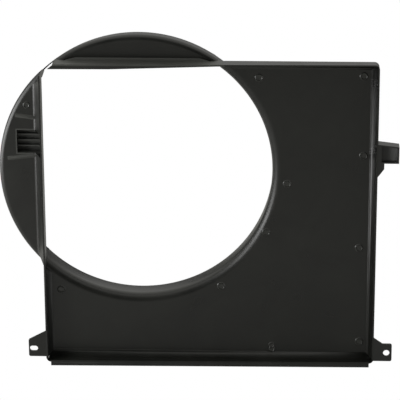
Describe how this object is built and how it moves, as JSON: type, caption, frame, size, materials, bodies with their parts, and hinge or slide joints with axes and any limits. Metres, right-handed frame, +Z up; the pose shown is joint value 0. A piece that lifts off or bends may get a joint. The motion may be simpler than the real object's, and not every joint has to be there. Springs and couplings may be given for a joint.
{
  "type": "radiator fan shroud",
  "caption": "Moulded radiator fan shroud: shallow tray with a flat panel, an offset bell-mouthed fan ring with two crescents past the tray walls, side arms and bolt tabs.",
  "frame": {"origin": "middle of the bottom of the whole part's box", "axes": "+X from the fan side to the far side with the single arm, +Y along the fan's axis towards the engine, +Z up"},
  "size_m": [0.632, 0.0694, 0.5484],
  "materials": {
    "moulded_black": "satin moulded black polypropylene with a fine eroded texture"
  },
  "bodies": {
    "root": {"wall_left": "moulded_black", "wall_bottom": "moulded_black", "wall_right": "moulded_black", "wall_top": "moulded_black", "panel_right": "moulded_black", "panel_lower": "moulded_black", "panel_upper_corner": "moulded_black", "panel_lower_right_corner": "moulded_black", "panel_lower_left_corner": "moulded_black", "ring_upper_right": "moulded_black", "ring_right": "moulded_black", "ring_lower_right": "moulded_black", "ring_bottom": "moulded_black", "ring_lower_left": "moulded_black", "ring_corner_strap": "moulded_black", "chord_left": "moulded_black", "chord_top": "moulded_black", "chord_top_lip": "moulded_black", "crescent_left": "moulded_black", "crescent_top": "moulded_black", "crescent_left_rim_upper": "moulded_black", "crescent_left_rim_lower": "moulded_black", "crescent_top_rim_left": "moulded_black", "crescent_top_rim_right": "moulded_black", "arm_left": "moulded_black", "rib_left_upper": "moulded_black", "rib_left_lower": "moulded_black", "arm_right": "moulded_black", "arm_right_gusset": "moulded_black", "tab_left": "moulded_black", "tab_right": "moulded_black", "lip_bottom": "moulded_black"}
  },
  "joints": []
}
